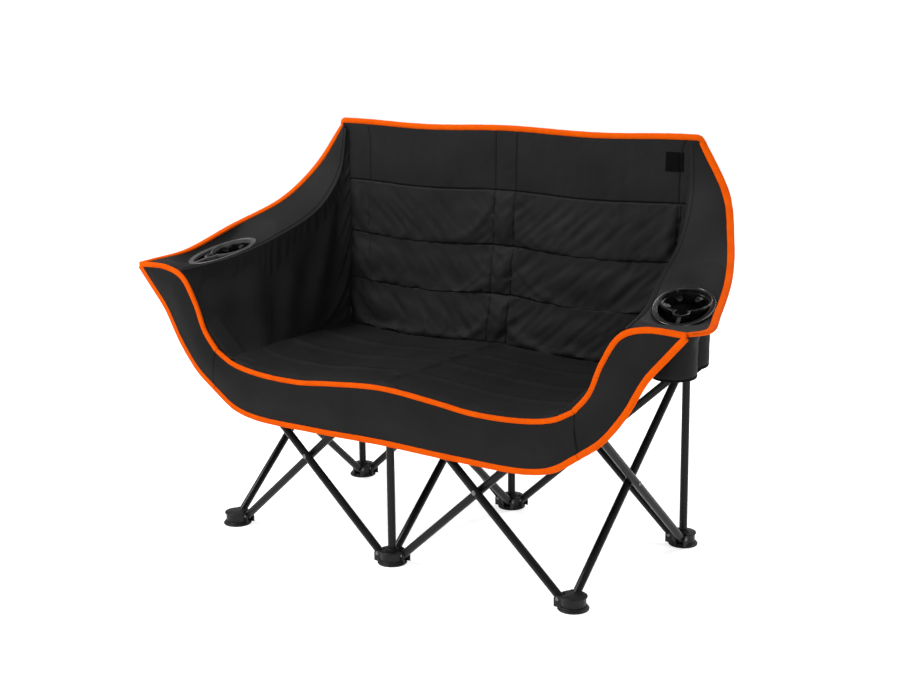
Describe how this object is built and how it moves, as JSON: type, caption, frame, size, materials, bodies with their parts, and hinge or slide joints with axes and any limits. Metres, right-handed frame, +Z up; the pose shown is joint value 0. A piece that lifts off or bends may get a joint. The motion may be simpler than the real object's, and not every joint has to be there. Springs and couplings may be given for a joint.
{
  "type": "folding camping loveseat",
  "caption": "Folding camping loveseat: a padded cloth shell with arms, cup holders and contrast binding on a scissor-folding steel frame.",
  "frame": {"origin": "on the floor, midway between the feet", "axes": "+Z up, the sitters face -Y, +X to the right in a view along +Y"},
  "size_m": [1.498, 0.5398, 0.9268],
  "materials": {
    "painted_steel": "satin black powder coat on steel tube",
    "moulded_plastic": "black injection-moulded nylon, lightly textured",
    "rivet_steel": "zinc-plated steel rivets",
    "charcoal_cloth": "charcoal woven polyester over thin wadding",
    "arm_cloth": "slightly lighter charcoal woven polyester, unpadded",
    "orange_binding": "bright orange folded polyester tape",
    "label_cloth": "bare black woven patch",
    "cup_plastic": "satin dark grey moulded plastic"
  },
  "bodies": {
    "back_centre": {"back_centre_foot": "moulded_plastic", "back_centre_upright": "painted_steel", "back_panel": "charcoal_cloth", "back_top_binding": "orange_binding", "label_patch": "label_cloth"},
    "back_left_tube_1": {"back_left_cross_tube_1": "painted_steel", "back_left_cross_rivet": "rivet_steel"},
    "back_left_tube_2": {"back_left_cross_tube_2": "painted_steel"},
    "back_right_tube_1": {"back_right_cross_tube_1": "painted_steel", "back_right_cross_rivet": "rivet_steel"},
    "back_right_tube_2": {"back_right_cross_tube_2": "painted_steel"},
    "back_left_post": {"back_left_foot": "moulded_plastic", "back_left_upright": "painted_steel"},
    "back_right_post": {"back_right_foot": "moulded_plastic", "back_right_upright": "painted_steel"},
    "back_left_slider": {"back_left_slider": "moulded_plastic"},
    "back_centre_slider": {"back_centre_slider": "moulded_plastic"},
    "back_right_slider": {"back_right_slider": "moulded_plastic"},
    "front_left_foot": {"front_left_foot": "moulded_plastic"},
    "front_right_foot": {"front_right_foot": "moulded_plastic"},
    "front_centre_post": {"front_centre_foot": "moulded_plastic", "front_centre_post": "painted_steel"},
    "front_left_hub": {"front_left_hub": "moulded_plastic"},
    "front_right_hub": {"front_right_hub": "moulded_plastic"},
    "front_centre_hub": {"front_centre_hub": "moulded_plastic", "front_centre_inner_post": "painted_steel", "front_band": "charcoal_cloth", "band_lower_binding": "orange_binding", "seat_edge_binding": "orange_binding"},
    "front_left_arm_tube": {"front_left_arm_tube": "painted_steel", "front_left_cross_rivet": "rivet_steel", "left_front_wing": "charcoal_cloth", "left_wing_binding": "orange_binding"},
    "front_right_arm_tube": {"front_right_arm_tube": "painted_steel", "front_right_cross_rivet": "rivet_steel", "right_front_wing": "charcoal_cloth", "right_wing_binding": "orange_binding"},
    "front_left_cross_tube": {"front_left_cross_tube": "painted_steel"},
    "front_right_cross_tube": {"front_right_cross_tube": "painted_steel"},
    "seat_front": {"seat_front_panel": "charcoal_cloth"},
    "seat_rear": {"seat_rear_panel": "charcoal_cloth"},
    "left_arm": {"left_arm_top": "arm_cloth", "left_arm_inner_panel": "charcoal_cloth", "left_arm_binding": "orange_binding"},
    "right_arm": {"right_arm_top": "arm_cloth", "right_arm_inner_panel": "charcoal_cloth", "right_arm_binding": "orange_binding"},
    "left_cup": {"left_cup_holder": "cup_plastic", "left_cup_pouch": "charcoal_cloth"},
    "right_cup": {"right_cup_holder": "cup_plastic", "right_cup_pouch": "charcoal_cloth"},
    "side_left_tube_1": {"side_left_cross_tube_1": "painted_steel", "side_left_cross_rivet": "rivet_steel"},
    "side_left_tube_2": {"side_left_cross_tube_2": "painted_steel"},
    "side_centre_tube_1": {"side_centre_cross_tube_1": "painted_steel", "side_centre_cross_rivet": "rivet_steel"},
    "side_centre_tube_2": {"side_centre_cross_tube_2": "painted_steel"},
    "side_right_tube_1": {"side_right_cross_tube_1": "painted_steel", "side_right_cross_rivet": "rivet_steel"},
    "side_right_tube_2": {"side_right_cross_tube_2": "painted_steel"}
  },
  "joints": [
    {"name": "back_left_tube_1_foot_pivot", "type": "hinge", "parent": "back_centre", "child": "back_left_tube_1", "pos_m": [-0.026, 0.22575, 0.022], "axis": [0, 1, 0], "range_deg": [0, 42.9], "deforming": ["back_panel", "back_top_binding", "label_patch"]},
    {"name": "back_left_crossing", "type": "hinge", "parent": "back_left_tube_1", "child": "back_left_tube_2", "pos_m": [-0.235, 0.235, 0.2085], "axis": [0, -1, 0], "range_deg": [0, 85.8]},
    {"name": "back_left_foot_pivot", "type": "hinge", "parent": "back_left_tube_2", "child": "back_left_post", "pos_m": [-0.444, 0.24425, 0.022], "axis": [0, 1, 0], "range_deg": [0, 42.9]},
    {"name": "back_left_slider_pivot", "type": "hinge", "parent": "back_left_tube_1", "child": "back_left_slider", "pos_m": [-0.444, 0.22575, 0.395], "axis": [0, -1, 0], "range_deg": [0, 42.9]},
    {"name": "back_centre_slider_pivot", "type": "hinge", "parent": "back_left_tube_2", "child": "back_centre_slider", "pos_m": [-0.026, 0.24425, 0.395], "axis": [0, 1, 0], "range_deg": [0, 42.9]},
    {"name": "back_right_tube_1_foot_pivot", "type": "hinge", "parent": "back_centre", "child": "back_right_tube_1", "pos_m": [0.026, 0.24425, 0.022], "axis": [0, -1, 0], "range_deg": [0, 42.9]},
    {"name": "back_right_crossing", "type": "hinge", "parent": "back_right_tube_1", "child": "back_right_tube_2", "pos_m": [0.235, 0.235, 0.2085], "axis": [0, 1, 0], "range_deg": [0, 85.8]},
    {"name": "back_right_foot_pivot", "type": "hinge", "parent": "back_right_tube_2", "child": "back_right_post", "pos_m": [0.444, 0.22575, 0.022], "axis": [0, -1, 0], "range_deg": [0, 42.9]},
    {"name": "back_right_slider_pivot", "type": "hinge", "parent": "back_right_tube_1", "child": "back_right_slider", "pos_m": [0.444, 0.24425, 0.395], "axis": [0, 1, 0], "range_deg": [0, 42.9]},
    {"name": "side_left_tube_1_foot_pivot", "type": "hinge", "parent": "back_left_post", "child": "side_left_tube_1", "pos_m": [-0.46075, 0.209, 0.022], "axis": [-1, 0, 0], "range_deg": [0, 42.9]},
    {"name": "side_left_crossing", "type": "hinge", "parent": "side_left_tube_1", "child": "side_left_tube_2", "pos_m": [-0.47, 0, 0.2085], "axis": [1, 0, 0], "range_deg": [0, 85.8]},
    {"name": "front_left_foot_pivot", "type": "hinge", "parent": "side_left_tube_2", "child": "front_left_foot", "pos_m": [-0.47925, -0.209, 0.022], "axis": [-1, 0, 0], "range_deg": [0, 42.9]},
    {"name": "front_left_hub_pivot", "type": "hinge", "parent": "side_left_tube_1", "child": "front_left_hub", "pos_m": [-0.46075, -0.209, 0.395], "axis": [1, 0, 0], "range_deg": [0, 42.9]},
    {"name": "side_centre_tube_1_foot_pivot", "type": "hinge", "parent": "back_centre", "child": "side_centre_tube_1", "pos_m": [0.00925, 0.209, 0.022], "axis": [-1, 0, 0], "range_deg": [0, 42.9]},
    {"name": "side_centre_crossing", "type": "hinge", "parent": "side_centre_tube_1", "child": "side_centre_tube_2", "pos_m": [0, 0, 0.2085], "axis": [1, 0, 0], "range_deg": [0, 85.8]},
    {"name": "front_centre_foot_pivot", "type": "hinge", "parent": "side_centre_tube_2", "child": "front_centre_post", "pos_m": [-0.00925, -0.209, 0.022], "axis": [-1, 0, 0], "range_deg": [0, 42.9]},
    {"name": "front_centre_hub_pivot", "type": "hinge", "parent": "side_centre_tube_1", "child": "front_centre_hub", "pos_m": [0.00925, -0.209, 0.395], "axis": [1, 0, 0], "range_deg": [0, 42.9], "deforming": ["front_band", "band_lower_binding", "seat_edge_binding"]},
    {"name": "side_right_tube_1_foot_pivot", "type": "hinge", "parent": "back_right_post", "child": "side_right_tube_1", "pos_m": [0.47925, 0.209, 0.022], "axis": [-1, 0, 0], "range_deg": [0, 42.9]},
    {"name": "side_right_crossing", "type": "hinge", "parent": "side_right_tube_1", "child": "side_right_tube_2", "pos_m": [0.47, 0, 0.2085], "axis": [1, 0, 0], "range_deg": [0, 85.8]},
    {"name": "front_right_foot_pivot", "type": "hinge", "parent": "side_right_tube_2", "child": "front_right_foot", "pos_m": [0.46075, -0.209, 0.022], "axis": [-1, 0, 0], "range_deg": [0, 42.9]},
    {"name": "front_right_hub_pivot", "type": "hinge", "parent": "side_right_tube_1", "child": "front_right_hub", "pos_m": [0.47925, -0.209, 0.395], "axis": [1, 0, 0], "range_deg": [0, 42.9]},
    {"name": "front_left_arm_tube_pivot", "type": "hinge", "parent": "front_centre_post", "child": "front_left_arm_tube", "pos_m": [-0.026, -0.24425, 0.022], "axis": [0, 1, 0], "range_deg": [0, 42.9]},
    {"name": "front_left_crossing", "type": "hinge", "parent": "front_left_arm_tube", "child": "front_left_cross_tube", "pos_m": [-0.235, -0.235, 0.2085], "axis": [0, -1, 0], "range_deg": [0, 85.8]},
    {"name": "front_right_arm_tube_pivot", "type": "hinge", "parent": "front_centre_post", "child": "front_right_arm_tube", "pos_m": [0.026, -0.22575, 0.022], "axis": [0, -1, 0], "range_deg": [0, 42.9]},
    {"name": "front_right_crossing", "type": "hinge", "parent": "front_right_arm_tube", "child": "front_right_cross_tube", "pos_m": [0.235, -0.235, 0.2085], "axis": [0, 1, 0], "range_deg": [0, 85.8]},
    {"name": "seat_front_fold", "type": "hinge", "parent": "front_centre_hub", "child": "seat_front", "pos_m": [0, -0.2585, 0.412], "axis": [1, 0, 0], "range_deg": [0, 87.94], "deforming": ["seat_front_panel"]},
    {"name": "seat_rear_fold", "type": "hinge", "parent": "back_centre_slider", "child": "seat_rear", "pos_m": [0, 0.1726, 0.412], "axis": [-1, 0, 0], "range_deg": [0, 87.94], "deforming": ["seat_rear_panel"]},
    {"name": "left_arm_gather", "type": "slide", "parent": "back_left_post", "child": "left_arm", "axis": [0.376, 0.7366, 0.5622], "range_m": [0, 0.4967], "deforming": ["left_arm_top", "left_arm_inner_panel", "left_arm_binding"]},
    {"name": "left_cup_gather", "type": "slide", "parent": "back_left_post", "child": "left_cup", "axis": [0.2205, 0.8231, 0.5233], "range_m": [0, 0.3404]},
    {"name": "right_arm_gather", "type": "slide", "parent": "back_right_post", "child": "right_arm", "axis": [-0.376, 0.7366, 0.5622], "range_m": [0, 0.4967], "deforming": ["right_arm_top", "right_arm_inner_panel", "right_arm_binding"]},
    {"name": "right_cup_gather", "type": "slide", "parent": "back_right_post", "child": "right_cup", "axis": [-0.2205, 0.8231, 0.5233], "range_m": [0, 0.3404]}
  ],
  "couplings": [
    {"joint": "back_left_crossing", "follows": "back_left_tube_1_foot_pivot", "ratio": 2},
    {"joint": "back_left_foot_pivot", "follows": "back_left_tube_1_foot_pivot", "ratio": 1},
    {"joint": "back_left_slider_pivot", "follows": "back_left_tube_1_foot_pivot", "ratio": 1},
    {"joint": "back_centre_slider_pivot", "follows": "back_left_tube_1_foot_pivot", "ratio": 1},
    {"joint": "back_right_tube_1_foot_pivot", "follows": "back_left_tube_1_foot_pivot", "ratio": 1},
    {"joint": "back_right_crossing", "follows": "back_left_tube_1_foot_pivot", "ratio": 2},
    {"joint": "back_right_foot_pivot", "follows": "back_left_tube_1_foot_pivot", "ratio": 1},
    {"joint": "back_right_slider_pivot", "follows": "back_left_tube_1_foot_pivot", "ratio": 1},
    {"joint": "side_left_tube_1_foot_pivot", "follows": "back_left_tube_1_foot_pivot", "ratio": 1},
    {"joint": "side_left_crossing", "follows": "back_left_tube_1_foot_pivot", "ratio": 2},
    {"joint": "front_left_foot_pivot", "follows": "back_left_tube_1_foot_pivot", "ratio": 1},
    {"joint": "front_left_hub_pivot", "follows": "back_left_tube_1_foot_pivot", "ratio": 1},
    {"joint": "side_centre_tube_1_foot_pivot", "follows": "back_left_tube_1_foot_pivot", "ratio": 1},
    {"joint": "side_centre_crossing", "follows": "back_left_tube_1_foot_pivot", "ratio": 2},
    {"joint": "front_centre_foot_pivot", "follows": "back_left_tube_1_foot_pivot", "ratio": 1},
    {"joint": "front_centre_hub_pivot", "follows": "back_left_tube_1_foot_pivot", "ratio": 1},
    {"joint": "side_right_tube_1_foot_pivot", "follows": "back_left_tube_1_foot_pivot", "ratio": 1},
    {"joint": "side_right_crossing", "follows": "back_left_tube_1_foot_pivot", "ratio": 2},
    {"joint": "front_right_foot_pivot", "follows": "back_left_tube_1_foot_pivot", "ratio": 1},
    {"joint": "front_right_hub_pivot", "follows": "back_left_tube_1_foot_pivot", "ratio": 1},
    {"joint": "front_left_arm_tube_pivot", "follows": "back_left_tube_1_foot_pivot", "ratio": 1},
    {"joint": "front_left_crossing", "follows": "back_left_tube_1_foot_pivot", "ratio": 2},
    {"joint": "front_right_arm_tube_pivot", "follows": "back_left_tube_1_foot_pivot", "ratio": 1},
    {"joint": "front_right_crossing", "follows": "back_left_tube_1_foot_pivot", "ratio": 2},
    {"joint": "seat_front_fold", "follows": "back_left_tube_1_foot_pivot", "ratio": 2.05},
    {"joint": "seat_rear_fold", "follows": "back_left_tube_1_foot_pivot", "ratio": 2.05},
    {"joint": "left_arm_gather", "follows": "back_left_tube_1_foot_pivot", "m_per_rad": 0.66309},
    {"joint": "left_cup_gather", "follows": "back_left_tube_1_foot_pivot", "m_per_rad": 0.45431},
    {"joint": "right_arm_gather", "follows": "back_left_tube_1_foot_pivot", "m_per_rad": 0.66309},
    {"joint": "right_cup_gather", "follows": "back_left_tube_1_foot_pivot", "m_per_rad": 0.45431}
  ]
}
